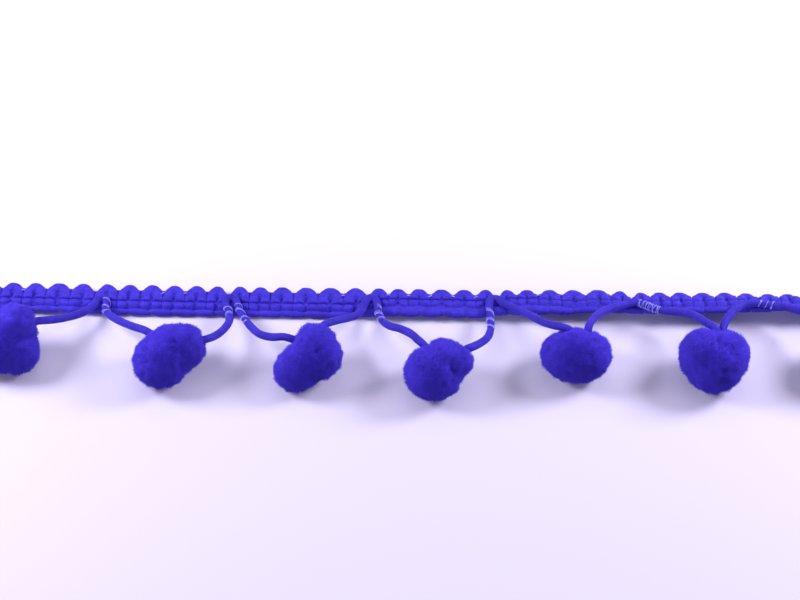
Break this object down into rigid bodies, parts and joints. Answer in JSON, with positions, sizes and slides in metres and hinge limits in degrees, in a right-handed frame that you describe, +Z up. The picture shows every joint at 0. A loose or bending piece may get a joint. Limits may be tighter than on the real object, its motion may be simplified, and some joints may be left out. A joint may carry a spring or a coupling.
{
  "type": "pompom fringe trim",
  "caption": "Narrow crochet-knit trim with a picot edge and a looped cord that carries a row of short-pile balls along its front.",
  "frame": {"origin": "centre of the footprint, on the surface that the trim lies on", "axes": "+X along the heading, -Y from the heading towards the balls, +Z up from the surface"},
  "size_m": [0.144, 0.0222, 0.0091],
  "materials": {
    "heading_yarn": "soft slightly glossy royal-blue polyester yarn, knitted",
    "cord_yarn": "soft round royal-blue cord with a fine velvety surface",
    "pile": "dense matt royal-blue short pile",
    "binding_filament": "thin clear glossy nylon filament"
  },
  "bodies": {
    "root": {"heading": "heading_yarn", "pompom_cord": "cord_yarn", "pompom_1": "pile", "pompom_2": "pile", "pompom_3": "pile", "pompom_4": "pile", "pompom_5": "pile", "pompom_6": "pile", "pompom_7": "pile"}
  },
  "joints": []
}
